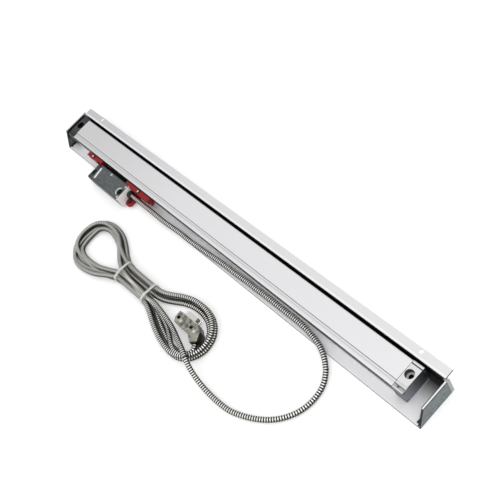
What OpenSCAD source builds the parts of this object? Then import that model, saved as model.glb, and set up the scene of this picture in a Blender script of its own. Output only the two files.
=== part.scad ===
// Sealed linear glass scale with its reading head, armoured cable, plug and
// transport brackets, lying in the open aluminium cover that guards it.
// X runs along the scale, +Y points to the cover's wall, +Z is up.
// The origin is the middle of the cover's underside.

/* [Scale housing] */
// Length over which the scale measures
measuring_len = 550; // [500:10:900]
// Width of the housing, from its slotted face to its back
housing_w = 37; // [35:0.5:42]
// Height of the housing
housing_h = 26; // [26:0.5:30]
// Length of each end block
end_block_len = 14.5; // [14.5:0.5:20]
// Diameter of the mounting holes in the end blocks
mount_hole_d = 6.5; // [5.2:0.1:7]
// Diameter of their counterbores
counterbore_d = 11.5; // [10:0.1:12]

/* [Glass and carriage] */
// Distance from the slotted face to the free edge of the glass
glass_inset = 17.2; // [17.2:0.1:18]
// Thickness of the glass strip
glass_t = 4; // [3:0.5:4]
// Diameter of the carriage rollers
roller_d = 8; // [7:0.25:8]
// Width of the carriage rollers
roller_w = 3; // [2:0.25:3]
// Length of the carriage frame
carriage_len = 70; // [64:1:80]

/* [Cover] */
// Thickness of the cover's sheet
cover_t = 1.5; // [1.2:0.1:2]
// Height of the cover
cover_h = 27.2; // [26:0.1:32]
// Distance from the scale's slotted face to the open edge of the plate
cover_front = 12.5; // [11:0.5:16]
// Clear gap between the housing and the cover's wall
wall_gap = 4; // [3:0.5:8]
// Width of the cover's top flange
flange_w = 11.8; // [11:0.1:16]
// Diameter of the holes in the flange
cover_hole_d = 5.5; // [4.5:0.1:6.5]
// Thickness of the end caps
cap_t = 4; // [3:0.5:6]

/* [Reading head] */
// Length of the head's raised body
head_len = 73; // [73:1:80]
// Length of the low ear at its far end
ear_len = 14; // [13:0.5:18]
// Depth of the head, across the scale
head_d = 26.5; // [26:0.5:30]
// Height of the head
head_h = 20; // [19:0.5:22]
// Gap between the head and the housing
head_gap = 5; // [4.5:0.5:6]
// Diameter of the head's mounting holes
head_hole_d = 5.5; // [4.5:0.1:6]

/* [Cable and plug] */
// Outside diameter of the armoured cable
cable_d = 7; // [6:0.25:7]
// Thickness of the plug's hood
hood_t = 16; // [15:0.5:18]

/* [Hidden] */
$fn = 48;
smooth = 96;

// ---- housing: places that everything else is worked out from ----
slack = 0.15;                       // general clearance between loose pieces
gasket_t = 0.5;
end_allowance = 142;                // overall length beyond the measuring length
scale_len = measuring_len + end_allowance;
scale_shift = -10;                  // the scale lies nearer the far cap
x_far = scale_shift - scale_len / 2;
x_near = scale_shift + scale_len / 2;
hole_from_end = 8;
y_front = -20;
y_rear = y_front + housing_w;
z_base = cover_t;
z_top = z_base + housing_h;
z_mid = z_base + housing_h / 2;
hole_y = y_front + 22;
front_wall = 4;
side_wall = 2.2;
roof_drop = 0.2;                    // the cavity's roof lies this much lower than its floor's mirror
rear_land = 7;                      // solid part behind the cavity
strip_w = 9.3;                      // lowered strip along the top of the front
strip_drop = 0.8;
corner_cut = 2.5;
cavity_front = y_front + front_wall;
cavity_rear = y_rear - rear_land;

// ---- slit and lip seals ----
slit_h = 5;
seal_h = 10;
seal_front = y_front + 1.2;
seal_rear = y_front + 3.2;
blade_t = 1.5;
seal_screw_r = 0.7;
seal_screw_head_r = 1.3;
seal_screw_x = -8.2;                // from the block's outer end
seal_screw_y = y_front + 4.4;
seal_screw_proud = 0.35;
seal_side_x = -12.6;
seal_side_z = z_mid - 2.5;
seal_plate_t = 1;

// ---- end screws: [y, z] in the section ----
end_screw_r = 1.1;
end_screw_head_r = 1.7;
end_screw_head_h = 1.6;
end_screw_reach = 6;
end_screw_at = [
  [y_front + 2.4, z_mid - 9.5], [y_front + 2.4, z_mid + 9.5],
  [y_rear - 3.5, z_mid - 8.5], [y_rear - 3.5, z_mid + 8.5]
];

// ---- glass and carriage ----
cushion_t = 0.5;
glass_rear = y_rear - 2.3;
glass_front = y_front + glass_inset;
glass_lane = (glass_front + cavity_rear) / 2;
glass_top = z_mid + glass_t / 2;
roller_r = roller_d / 2;
roller_gap = 0.1;                   // left free between roller and glass
axle_r = 1.5;
axle_fit = 0.03;
axle_head_r = 2.2;
axle_head_t = 0.6;
carriage_x = x_far + 141.5;          // the head is parked near the far end
web_t = 1.9;
web_rear = glass_front - roller_gap - roller_d - 0.5;
web_front = web_rear - web_t;
leaf_t = 0.4;
leaf_stand = 0.8;
face_z = glass_top + roller_gap + roller_r;
edge_y = glass_front - roller_gap - roller_r;
roller_end = carriage_len / 2 - 8;
// Each face roller's place along X and its middle plane along Y
face_at = [[-roller_end, glass_front + 3], [0, cavity_rear - 2.8], [roller_end, glass_front + 3]];
edge_at = [-roller_end, roller_end];
board_w = 26;
board_t = 1.2;
board_rear = cavity_rear - 1.5;
detector_rear = face_at[1][1] - roller_w / 2 - 0.3;
shelf_gap = 2;                      // between the cavity's floor and the shelf
shelf_t = 2;
lamp_pitch = 8;
lamp_h = 2.4;
lamp_r = 1.6;
grating_len = 20;
grating_w = 5.5;
grating_t = 0.6;
lug_half = 3.5;
blade_root_gap = 0.4;               // between the root and the housing
blade_end_gap = [1.5, 1];           // between the root and the brackets' thin ends
blade_neck_half = 24;
blade_wide_half = 28;
blade_tip_half = 12;
blade_taper = 8;

// ---- cover ----
cover_ends = 29;                    // cover length beyond the scale
cover_len = scale_len + cover_ends;
wall_in = y_rear + wall_gap;
wall_out = wall_in + cover_t;
flange_out = wall_in + flange_w;
plate_edge = y_front - cover_front;
cover_hole_inset = 39.5;
cover_hole_y = flange_out - 4;
cap_slope = 13.9;                   // how far the cap's front edge leans in
cap_inner_t = 1.2;
tongue_len = 3;
tongue_t = 1.5;

// ---- reading head ----
head_parked = 178;                  // from the housing's far end to the head's near end
head_rear = y_front - head_gap;
head_front = head_rear - head_d;
head_x1 = x_far + head_parked;
head_x0 = head_x1 - head_len;
ear_x0 = head_x0 - ear_len;
head_z0 = 3;
head_z1 = head_z0 + head_h;
ear_top = head_z1 - 6;
head_wall = 3;
lid_t = 2;
lid_gasket_t = 0.5;
lid_edge = 1;
lid_z = head_z1 - lid_t;
hole_right = [head_x1 - 8, head_rear - 15];
hole_left = [ear_x0 + 7, hole_right[1]];
head_bore_d = head_hole_d + 4.5;
boss_r = head_bore_d / 2 + 1.2;
pocket_x0 = head_x0 + head_wall + 2;
pocket_x1 = hole_right[0] - boss_r - 1.5;
pocket_floor = head_z0 + 3;
lid_screw_r = 1.1;
lid_screw_head_r = 1.9;
ridge_w = 1.8;
ridge_h = 0.6;
ridge_len = head_d - 8.5;
ridge_at = [head_x0 + 5.6, head_front + 4];
ridge_turn = 10;
lid_screw_at = [
  [head_x0 + 29, head_rear - 3.1], [head_x1 - 4, head_rear - 4.5], [head_x1 - 4, head_front + 3.6]
];

// ---- gland, on the head's right end ----
cable_r = cable_d / 2;
gland_y = -32;
gland_under = 8.5;                  // height of the cable's underside in the gland
gland_z = gland_under + cable_r;
gland_body_len = 3;
gland_nut_len = 3;
gland_r = cable_r + 2.1;
gland_out = head_x1 + gland_body_len + gland_nut_len;

// ---- transport brackets ----
bar_z0 = 15;
bar_z1 = 24;
bar_rear = y_front - 0.5;
bar_front = y_front - 7;
bar_left_reach = 27;
bar_right_reach = 47.5;
bar_left_end = ear_x0 - bar_left_reach;
bar_right_end = head_x1 + bar_right_reach;
bar_left_screw_x = bar_left_end + 14;
bar_right_screw_x = bar_right_end - 26;
bar_mid_z = (bar_z0 + bar_z1) / 2 - 2.5;
bracket_side_x = [ear_x0 + 5, head_x1 - 5];
leg_x0 = gland_out + 0.4;
leg_x1 = head_x1 + 13;
bar_overlap = 10;                   // length that lies between head and housing
lug_at = [head_x1 + 7, gland_y - 8.2];
lug_r = 6.6;
lug_z0 = 4.4;
lug_z1 = 8.1;
bracket_screw_r = 1.5;
bracket_head_r = 2.6;

// ---- cord: [x, y, height of the underside], from the gland to the hank, with the head parked ----
cord_shift = x_far + 356;
run_route = [
  [-172, -32, 8.5], [-152, -32, 8.5], [-130, -32, 8.5],
  [-112, -32, 8], [-94, -32, 7], [-76, -31, 5.5], [-58, -30, 4], [-40, -30, 3], [-22, -29, 2.2],
  [-4, -28, 1.7], [14, -27, 1.7], [34, -26, 1.7], [54, -26, 1.7], [74, -25, 1.7], [94, -25, 1.7],
  [114, -24.5, 1.7], [134, -24.5, 1.7], [152, -24.5, 1.7], [170, -24.5, 1.7], [186, -25.5, 1.7],
  [202, -28, 1.7], [216, -32, 1.7], [229, -39, 1.2], [240, -48, 0.5], [248, -60, 0.1],
  [252, -74, 0.1], [252, -89, 0.1], [248, -104, 0.1], [240, -118, 0.1], [229, -130, 0.1],
  [215, -140, 0.1], [199, -148, 0.1], [181, -154, 0.1], [162, -156, 0.6], [143, -156, 2.5],
  [124, -154, 6.5], [107, -150, 11.5], [94, -145, 14]
];
run_sides = 8;
strand_rows = 3;                    // strands side by side in each end loop
hank_h = 2 * cable_d;
hank_band = strand_rows * cable_d;
loop_a = [-158, -117];
loop_a_r = 41;
loop_b = [62, -118];
loop_b_r = 39;
waist_a = [-84, -118];
waist_a_r = 15;
waist_b = [-22, -117];
waist_b_r = 16;
tie_w = 4.5;
tie_t = 1.2;
eye_a = [-104, -116];
eye_b = [10, -112];
eye_r = 4;
tie_left_at = [-83, -118];
tie_right_at = [-22, -117];
tie_half = 15.3;
lock_half = 3;
lock_y = 2;
lock_h = 4.5;

// ---- plug: its own frame has X along the flange and Y in the mating direction ----
plug_at = [56, -106.5];
plug_turn = 2;
plug_z = hood_t / 2;
flange_len = 30.8;
flange_h = 12.5;
flange_t = 1;
shell_len = 6;
shell_wall = 0.5;
jack_x = 12.5;
jack_r = 1.4;
jack_head_r = 2.6;
hood_wall = 1.6;
plug_room = 1.04;                   // room that the hank leaves round the hood
neck_a = [25.7, -23.1];
neck_b = [32.8, -16];
neck_mid = (neck_a + neck_b) / 2;
hood_outline = [
  [-17.5, 0], [-17.5, -10], [-13, -15.5], [11, -15.5], [16, -16.5], neck_a, neck_b, [27, -5], [18.5, 0]
];
hood_inside = [
  [-9.5, 0.1], [-9.5, -5], [-15.5, -5], [-15.5, -9.4], [-12.2, -13.7], [11.2, -13.7], [16.6, -14.8],
  [21.5, -19.2], [27.8, -12.9], [24.9, -5], [9.5, -5], [9.5, 0.1]
];
jack_window = [5, 4.2];
jack_window_y = -7.5;
hood_screw_at = [[-6, -9.5], [20, -9]];
hood_screw_r = 1.2;
hood_screw_head_r = 2.2;
pin_pitch = 2.77;
pin_row = 2.84;
pin_r = 0.5;

// ---------------------------------------------------------------- helpers

// Extrudes a [y, z] outline along X, from x0 over len
module along_x(x0, len) translate([x0, 0, 0]) rotate([90, 0, 90]) linear_extrude(len) children();

// A round rod along X
module rod_x(x0, len, y, z, r) translate([x0, y, z]) rotate([0, 90, 0]) cylinder(h = len, r = r);

// A round rod along Y
module rod_y(y0, len, x, z, r) translate([x, y0, z]) rotate([-90, 0, 0]) cylinder(h = len, r = r);

// A box given by its two opposite corners
module box(a, b) translate(a) cube(b - a);

// A flat outline with one rounded end, from a point to a circle
module arm(a, b, r) hull() {
  translate(a) circle(r = r, $fn = 32);
  translate(b) circle(r = r, $fn = 32);
}

// ---------------------------------------------------------------- cover

module cover_profile() color("gainsboro") {
  x0 = -cover_len / 2;
  difference() {
    along_x(x0, cover_len) polygon([
      [plate_edge, 0], [wall_out, 0], [wall_out, cover_h - cover_t], [flange_out, cover_h - cover_t],
      [flange_out, cover_h], [wall_in, cover_h], [wall_in, cover_t], [plate_edge, cover_t]
    ]);
    for (s = [-1, 1])
      translate([s * (cover_len / 2 - cover_hole_inset), cover_hole_y, cover_h - 2 * cover_t])
        cylinder(h = 3 * cover_t, d = cover_hole_d);
  }
}

// Outline of an end cap, drawn in by a given amount at its top and leaning edge
module cap_outline(inset) {
  top_front = plate_edge + cap_slope;
  polygon([
    [plate_edge + inset, 0], [wall_out, 0], [wall_out, cover_h - inset], [top_front + inset, cover_h - inset]
  ]);
}

// The cap for the near end, with its locating tongue and the slot in its leaning edge
module cap(end) mirror([end < 0 ? 1 : 0, 0, 0]) {
  x0 = cover_len / 2;
  lean = atan2(cap_slope, cover_h);
  difference() {
    union() {
      along_x(x0, cap_inner_t) cap_outline(1.2);
      along_x(x0 + cap_inner_t, cap_t - cap_inner_t) cap_outline(0);
    }
    translate([x0 + cap_inner_t + 0.4, plate_edge, 0])
      rotate([-lean, 0, 0])
        box([0, -1, 2], [1.6, 1.6, cover_h * 0.62]);
  }
  along_x(x0 - tongue_len, tongue_len) polygon([
    [plate_edge + 3, cover_t], [wall_in, cover_t], [wall_in, cover_h - 4], [wall_in - tongue_t, cover_h - 4],
    [wall_in - tongue_t, cover_t + tongue_t], [plate_edge + 3, cover_t + tongue_t]
  ]);
}

module cover_cap_far() color("slategray") cap(-1);
module cover_cap_near() color("slategray") cap(1);

// ---------------------------------------------------------------- scale

// Outer section of the housing, shared by blocks and gaskets
module section() polygon([
  [y_front + corner_cut, z_base], [y_rear - 1, z_base], [y_rear, z_base + 1], [y_rear, z_top - 1],
  [y_rear - 1, z_top], [y_front + strip_w, z_top], [y_front + strip_w, z_top - strip_drop],
  [y_front + 0.8, z_top - strip_drop], [y_front, z_top - strip_drop - 0.8], [y_front, z_base + corner_cut]
]);

module housing() color("whitesmoke") {
  x0 = x_far + end_block_len + gasket_t;
  len = scale_len - 2 * (end_block_len + gasket_t);
  slot_h = glass_t + 2 * cushion_t;
  difference() {
    along_x(x0, len) difference() {
      section();
      // Cavity for the carriage
      translate([cavity_front, z_base + side_wall])
        square([cavity_rear - cavity_front, housing_h - 2 * side_wall - roof_drop]);
      // Slot that holds the glass
      translate([cavity_rear - 0.5, z_mid - slot_h / 2])
        square([glass_rear + cushion_t - cavity_rear + 0.5, slot_h]);
      // Slit and the seal groove behind it
      translate([y_front - 1, z_mid - slit_h / 2]) square([front_wall + 2, slit_h]);
      translate([seal_front, z_mid - seal_h / 2]) square([seal_rear - seal_front, seal_h]);
      // Fine line where the lowered strip meets the top
      translate([y_front + strip_w - 0.6, z_top - strip_drop - 0.6]) square([0.6, 1]);
      // Shallow decorative line on the strip
      translate([y_front + 4, z_top - strip_drop - 0.3]) square([0.4, 1]);
      // Clamping groove along the back
      translate([y_rear - 1.2, z_mid - 8]) square([2, 3]);
    }
    for (p = end_screw_at) {
      rod_x(x0 - 1, end_screw_reach + 2, p[0], p[1], end_screw_r + 0.05);
      rod_x(x0 + len - end_screw_reach - 1, end_screw_reach + 2, p[0], p[1], end_screw_r + 0.05);
    }
  }
}

// End block for the near end; the far one is its mirror image
module end_block(end) {
  x_out = end > 0 ? x_near : x_far;
  translate([x_out, 0, 0]) mirror([end > 0 ? 0 : 1, 0, 0]) difference() {
    along_x(-end_block_len, end_block_len) section();
    // Mounting hole with its counterbore
    translate([-hole_from_end, hole_y, z_base - 1])
      cylinder(h = housing_h + 2, d = mount_hole_d, $fn = smooth);
    translate([-hole_from_end, hole_y, z_top - 9])
      cylinder(h = 10, d = counterbore_d, $fn = smooth);
    // Groove in front of the raised ledge along the back
    box([-end_block_len - 1, y_rear - 4.2, z_top - 1.6], [1, y_rear - 3.3, z_top + 1]);
    for (p = end_screw_at) {
      rod_x(-end_block_len - 1, end_block_len + 2, p[0], p[1], end_screw_r + 0.1);
      rod_x(-end_screw_head_h - 0.2, end_screw_head_h + 1, p[0], p[1], end_screw_head_r + 0.1);
    }
    // Tapped holes for the seal screws
    translate([seal_screw_x, seal_screw_y, z_top - strip_drop - 4]) cylinder(h = 6, r = seal_screw_r + 0.05);
    rod_y(y_front - 1, 4.5, seal_side_x, seal_side_z, seal_screw_r + 0.05);
    rod_y(y_front - 1, 1.9 - seal_screw_proud, seal_side_x, seal_side_z, seal_screw_head_r + 0.05);
  }
}

module end_block_far() color("silver") end_block(-1);
module end_block_near() color("silver") end_block(1);

module end_gaskets() color("dimgray")
  for (x0 = [x_far + end_block_len, x_near - end_block_len - gasket_t])
    difference() {
      along_x(x0, gasket_t) section();
      for (p = end_screw_at) rod_x(x0 - 1, gasket_t + 2, p[0], p[1], end_screw_r + 0.1);
    }

module end_block_screws() color("darkgray")
  for (end = [-1, 1])
    translate([end > 0 ? x_near : x_far, 0, 0]) mirror([end > 0 ? 0 : 1, 0, 0])
      for (p = end_screw_at) {
        len = end_block_len + gasket_t + end_screw_reach - 0.5;
        difference() {
          union() {
            rod_x(-len, len - end_screw_head_h, p[0], p[1], end_screw_r);
            rod_x(-end_screw_head_h - 0.2, end_screw_head_h, p[0], p[1], end_screw_head_r);
          }
          translate([-0.9, p[0], p[1]]) rotate([0, 90, 0]) cylinder(h = 2, r = 0.9, $fn = 6);
        }
      }

module seal_clamps() color("gainsboro")
  for (end = [-1, 1])
    translate([end > 0 ? x_near : x_far, 0, z_top - strip_drop]) mirror([end > 0 ? 0 : 1, 0, 0])
      difference() {
        box([-end_block_len, seal_screw_y - 2, 0], [-0.4, seal_screw_y + 2, seal_plate_t]);
        translate([seal_screw_x, seal_screw_y, -1]) cylinder(h = 4, r = seal_screw_r + 0.1);
      }

module seal_screws() color("dimgray")
  for (end = [-1, 1])
    translate([end > 0 ? x_near : x_far, 0, 0]) mirror([end > 0 ? 0 : 1, 0, 0]) {
      top = z_top - strip_drop + seal_plate_t;
      translate([seal_screw_x, seal_screw_y, top - 4]) cylinder(h = 4.1, r = seal_screw_r);
      translate([seal_screw_x, seal_screw_y, top]) cylinder(h = 0.6, r = seal_screw_head_r);
      rod_y(y_front, 3, seal_side_x, seal_side_z, seal_screw_r);
      rod_y(y_front - seal_screw_proud, 0.9, seal_side_x, seal_side_z, seal_screw_head_r);
    }

// One rubber lip, drawn above the slit; side -1 gives the lower one
module lip_seal(side) {
  x0 = x_far + end_block_len + gasket_t;
  len = scale_len - 2 * (end_block_len + gasket_t);
  root = slit_h / 2 + 0.5;
  translate([0, 0, z_mid]) mirror([0, 0, side > 0 ? 0 : 1]) along_x(x0, len) polygon([
    [seal_front, seal_h / 2], [seal_rear, seal_h / 2], [seal_rear, root], [seal_rear - 0.4, slit_h / 2 - 0.4],
    [seal_rear - 0.9, blade_t / 2 + slack], [seal_rear - 1.3, blade_t / 2 + slack],
    [seal_front + 0.1, slit_h / 2 - 0.6], [seal_front, slit_h / 2]
  ]);
}

module lip_seal_upper() color("black") lip_seal(1);
module lip_seal_lower() color("black") lip_seal(-1);

module glass_scale() color("lightcyan")
  box(
    [x_far + end_block_len + gasket_t + 1, glass_front, z_mid - glass_t / 2],
    [x_near - end_block_len - gasket_t - 1, glass_rear, z_mid + glass_t / 2]
  );

module glass_cushion() color("ivory") {
  x0 = x_far + end_block_len + gasket_t + 1;
  h = glass_t + 2 * cushion_t;
  along_x(x0, scale_len - 2 * (end_block_len + gasket_t + 1)) difference() {
    translate([cavity_rear, z_mid - h / 2]) square([glass_rear + cushion_t - cavity_rear, h]);
    translate([cavity_rear - 1, z_mid - glass_t / 2]) square([glass_rear - cavity_rear + 1, glass_t]);
  }
}

// ---------------------------------------------------------------- carriage

module at_carriage() translate([carriage_x, 0, 0]) children();

module carriage_frame() color("silver") at_carriage() difference() {
  half = carriage_len / 2;
  z0 = z_base + side_wall + shelf_gap;
  z1 = glass_top + roller_d;
  union() {
    // Upright web and the shelf under the glass that carries the lamp board
    box([-half, web_front, z0], [half, web_rear, z1]);
    box([-board_w / 2 - 1, web_front, z0], [board_w / 2 + 1, board_rear + 0.5, z0 + shelf_t]);
    // Lugs under the edge rollers
    for (x = edge_at)
      box(
        [x - lug_half, web_front, z_mid - roller_w / 2 - shelf_t - 0.5],
        [x + lug_half, glass_front - 0.6, z_mid - roller_w / 2 - 0.5]
      );
  }
  // Lightening windows between the rollers
  for (s = [-1, 1])
    translate([s * (roller_end + board_w / 2) / 2, web_front - 1, z_mid]) rotate([-90, 0, 0])
      cylinder(h = web_t + 2, r = 2.5);
}

module roller_axles() color("gray") at_carriage() {
  for (p = face_at) {
    rod_y(web_rear, p[1] + roller_w / 2 + 0.1 - web_rear, p[0], face_z, axle_r);
    rod_y(p[1] + roller_w / 2 + 0.1, axle_head_t, p[0], face_z, axle_head_r);
  }
  for (x = edge_at) {
    z0 = z_mid - roller_w / 2;
    translate([x, edge_y, z0 - 0.5]) cylinder(h = roller_w + 0.6, r = axle_r);
    translate([x, edge_y, z0 + roller_w + 0.1]) cylinder(h = axle_head_t, r = axle_head_r);
  }
}

// A small ball-bearing roller, its axis along Z and its middle at the origin
module roller() difference() {
  union() {
    cylinder(h = roller_w - 0.6, r = roller_r, center = true, $fn = smooth);
    cylinder(h = roller_w, r = roller_r - 0.4, center = true, $fn = smooth);
  }
  cylinder(h = roller_w + 2, r = axle_r + axle_fit, center = true);
  for (s = [-1, 1])
    translate([0, 0, s * roller_w / 2]) rotate_extrude() translate([2.45, -0.25]) square([0.7, 0.5]);
}

module roller_face(i)
  translate([carriage_x + face_at[i][0], face_at[i][1], face_z]) rotate([90, 0, 0]) roller();

module roller_edge(i)
  translate([carriage_x + edge_at[i], edge_y, z_mid]) roller();

module roller_face_1() color("lightgray") roller_face(0);
module roller_face_2() color("lightgray") roller_face(1);
module roller_face_3() color("lightgray") roller_face(2);
module roller_edge_1() color("lightgray") roller_edge(0);
module roller_edge_2() color("lightgray") roller_edge(1);

// Lamp board under the glass, with its row of light sources
module led_board() color("darkgreen") at_carriage() {
  z0 = z_base + side_wall + shelf_gap + shelf_t;
  box([-board_w / 2, web_rear, z0], [board_w / 2, board_rear, z0 + board_t]);
  for (i = [-1 : 1])
    translate([i * lamp_pitch, glass_lane, z0 + board_t - 0.1]) cylinder(h = lamp_h, r = lamp_r);
}

// Detector board over the glass, with the reading grating facing it
module detector_board() color("darkgreen") at_carriage() {
  z0 = glass_top + 0.3 + grating_t;
  box([-board_w / 2, web_rear, z0], [board_w / 2, detector_rear, z0 + 0.8]);
  translate([-grating_len / 2, detector_rear - 0.3 - grating_w, z0 - grating_t])
    cube([grating_len, grating_w, grating_t]);
}

// Bowed leaf that couples the blade to the carriage
module coupling_spring() color("goldenrod") at_carriage() {
  leaf_rear = web_front - leaf_stand;
  box([-17, leaf_rear - leaf_t, z_mid - 3], [17, leaf_rear, z_mid + 3]);
  for (s = [-1, 1])
    box([s * 15.5 - 1.5, leaf_rear, z_mid - 3], [s * 15.5 + 1.5, web_front, z_mid + 3]);
}

// Sword-shaped blade that reaches through the lips
module guide_blade() color("silver") at_carriage()
  translate([0, 0, z_mid - blade_t / 2]) linear_extrude(blade_t) {
    tip = web_front - leaf_stand - leaf_t;
    root_x0 = ear_x0 + bar_overlap + blade_end_gap[0] - carriage_x;
    root_x1 = head_x1 - bar_overlap - blade_end_gap[1] - carriage_x;
    root_rear = y_front - blade_root_gap;
    polygon([
      [root_x0, head_rear], [root_x0, root_rear], [-blade_neck_half, root_rear],
      [-blade_wide_half, seal_rear - 1], [-blade_wide_half + blade_taper, cavity_front],
      [-blade_tip_half, tip], [blade_tip_half, tip],
      [blade_wide_half - blade_taper, cavity_front], [blade_wide_half, seal_rear - 1],
      [blade_neck_half, root_rear], [root_x1, root_rear], [root_x1, head_rear]
    ]);
  }

// ---------------------------------------------------------------- head

module head_plate(h, inset) linear_extrude(h)
  translate([head_x0 + inset, head_front + inset]) square([head_len - 2 * inset, head_d - 2 * inset]);

module lid_cutouts() {
  translate([hole_right[0], hole_right[1], -1]) cylinder(h = head_h + 2, r = boss_r + slack, $fn = smooth);
  for (p = lid_screw_at) translate([p[0], p[1], -1]) cylinder(h = head_h + 2, r = lid_screw_r + 0.1);
}

module head_casting() color("dimgray") difference() {
  seat = lid_z - lid_gasket_t;
  union() {
    box([head_x0, head_front, head_z0], [head_x1, head_rear, seat]);
    // Rim round the lid
    translate([0, 0, seat - 0.1]) difference() {
      head_plate(lid_t + lid_gasket_t + 0.1, 0);
      translate([0, 0, -1]) head_plate(lid_t + lid_gasket_t + 2, lid_edge);
    }
    // Low ear with rounded outer corners
    translate([0, 0, head_z0]) linear_extrude(ear_top - head_z0) union() {
      translate([ear_x0 + 3, head_front]) square([ear_len - 2, head_d]);
      translate([ear_x0, head_front + 3]) square([4, head_d - 6]);
      for (y = [head_front + 3, head_rear - 3]) translate([ear_x0 + 3, y]) circle(r = 3);
    }
    // Boss of the right-hand mounting hole, level with the lid
    translate([hole_right[0], hole_right[1], seat - 0.1])
      cylinder(h = lid_t + lid_gasket_t + 0.1, r = boss_r, $fn = smooth);
  }
  // Pocket for the signal board
  box([pocket_x0, head_front + head_wall, pocket_floor], [pocket_x1, head_rear - head_wall, head_z1 + 1]);
  // Mounting holes with counterbores
  for (p = [hole_left, hole_right])
    translate([p[0], p[1], head_z0 - 1]) cylinder(h = head_h + 2, d = head_hole_d);
  translate([hole_left[0], hole_left[1], ear_top - 5]) cylinder(h = 6, d = head_bore_d, $fn = smooth);
  translate([hole_right[0], hole_right[1], head_z1 - 7]) cylinder(h = 8, d = head_bore_d, $fn = smooth);
  // Lid screw holes
  for (p = lid_screw_at) translate([p[0], p[1], seat - 6]) cylinder(h = 10, r = lid_screw_r + 0.05);
  // Wire way and port of the gland
  rod_x(pocket_x1 - 1, head_x1 - pocket_x1 + 2, gland_y, gland_z, cable_r - 0.6);
  rod_x(head_x1 - 3, 4, gland_y, gland_z, gland_r - 0.6);
  // Bracket screw holes in the rear face
  for (x = bracket_side_x) rod_y(head_rear - 3.5, 4, x, bar_mid_z, bracket_screw_r + 0.05);
}

module head_gasket() color("black") translate([0, 0, lid_z - lid_gasket_t]) difference() {
  head_plate(lid_gasket_t, lid_edge + slack);
  translate([0, 0, -1]) linear_extrude(lid_gasket_t + 2)
    translate([pocket_x0, head_front + head_wall])
      square([pocket_x1 - pocket_x0, head_d - 2 * head_wall]);
  lid_cutouts();
}

module head_lid() color("gray") translate([0, 0, lid_z]) difference() {
  union() {
    head_plate(lid_t, lid_edge + slack);
    // Raised ridge near the lid's far edge
    translate([ridge_at[0], ridge_at[1], 0]) rotate([0, 0, ridge_turn])
      cube([ridge_w, ridge_len, lid_t + ridge_h]);
  }
  lid_cutouts();
  for (p = lid_screw_at) translate([p[0], p[1], lid_t - 0.9]) cylinder(h = 2, r = lid_screw_head_r + 0.1);
}

module head_lid_screws() color("silver")
  for (p = lid_screw_at) translate([p[0], p[1], lid_z]) difference() {
    union() {
      translate([0, 0, -5]) cylinder(h = 5 + lid_t - 0.9, r = lid_screw_r);
      translate([0, 0, lid_t - 0.9]) cylinder(h = 1, r = lid_screw_head_r);
    }
    for (a = [0, 90]) rotate([0, 0, a]) translate([-1.2, -0.2, lid_t - 0.4]) cube([2.4, 0.4, 2]);
  }

// Circuit board on four short pillars, with its chips
module signal_board() color("darkgreen") {
  x0 = pocket_x0 + 1;
  x1 = pocket_x1 - 1;
  y0 = head_front + head_wall + 1;
  y1 = head_rear - head_wall - 1;
  z0 = pocket_floor + 3;
  box([x0, y0, z0], [x1, y1, z0 + 1.6]);
  for (x = [x0 + 3, x1 - 3], y = [y0 + 3, y1 - 3])
    translate([x, y, pocket_floor]) cylinder(h = 3.1, r = 1.8);
  box([x0 + 10, y0 + 5, z0 + 1.5], [x0 + 20, y0 + 12, z0 + 3]);
  box([x0 + 26, y0 + 4, z0 + 1.5], [x0 + 34, y0 + 10, z0 + 3]);
}

module cable_gland() color("black") difference() {
  union() {
    rod_x(head_x1, gland_body_len, gland_y, gland_z, gland_r);
    rod_x(head_x1 - 2.8, 3, gland_y, gland_z, gland_r - 0.65);
  }
  rod_x(head_x1 - 4, 20, gland_y, gland_z, cable_r - 0.6);
}

module gland_nut() color("black") translate([head_x1 + gland_body_len, gland_y, gland_z]) rotate([0, 90, 0])
  difference() {
    union() {
      cylinder(h = gland_nut_len * 0.6, r = gland_r);
      cylinder(h = gland_nut_len, r1 = gland_r - 0.1, r2 = cable_r + 0.5);
    }
    translate([0, 0, -1]) cylinder(h = gland_nut_len + 2, r = cable_r - 0.6);
  }

// ---------------------------------------------------------------- brackets

// One transport bracket: a bar beside the housing whose thin end lies between head and housing
module bracket(x_end, x_head, side_x, top_x, side) {
  x_in = x_head + side * -bar_overlap;
  lo = min(x_end, x_in);
  hi = max(x_end, x_in);
  difference() {
    union() {
      box([lo, head_rear, bar_z0 - 5], [hi, bar_rear, bar_z1]);
      box(
        [side > 0 ? x_head + 0.5 : x_end, bar_front, bar_z0],
        [side > 0 ? x_end : x_head - 0.5, bar_rear, bar_z1]
      );
    }
    rod_y(head_rear - 1, bar_rear - head_rear + 3.5, side_x, bar_mid_z, bracket_screw_r + 0.1);
    rod_y(bar_rear - 1.6, 3, side_x, bar_mid_z, bracket_head_r + 0.1);
    translate([top_x, (bar_front + bar_rear) / 2, bar_z0 - 6])
      cylinder(h = bar_z1 - bar_z0 + 7, r = bracket_screw_r + 0.1);
  }
}

module bracket_left() color("firebrick")
  bracket(bar_left_end, ear_x0, bracket_side_x[0], bar_left_screw_x, -1);

module bracket_right() color("firebrick") {
  bracket(bar_right_end, head_x1, bracket_side_x[1], bar_right_screw_x, 1);
  difference() {
    union() {
      // Leg down from the bar and the foot that passes under the cable
      box([leg_x0, bar_front, lug_z0], [leg_x1, bar_rear - 2, bar_z0 + 1]);
      translate([0, 0, lug_z0]) linear_extrude(lug_z1 - lug_z0)
        arm(lug_at, [lug_at[0], bar_front + 2], lug_r);
    }
    translate([lug_at[0], lug_at[1], lug_z0 - 1])
      cylinder(h = lug_z1 - lug_z0 + 2, r = bracket_screw_r + 0.1);
    // Hollow under the gland
    rod_x(head_x1 - 1, gland_out - head_x1 + 1.4, gland_y, gland_z, gland_r + 0.3);
    // Room for the housing's foot
    box([head_x1, bar_rear - 2, 0], [leg_x1 + 1, y_front + lug_r, bar_z0 - 5]);
  }
}

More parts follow.
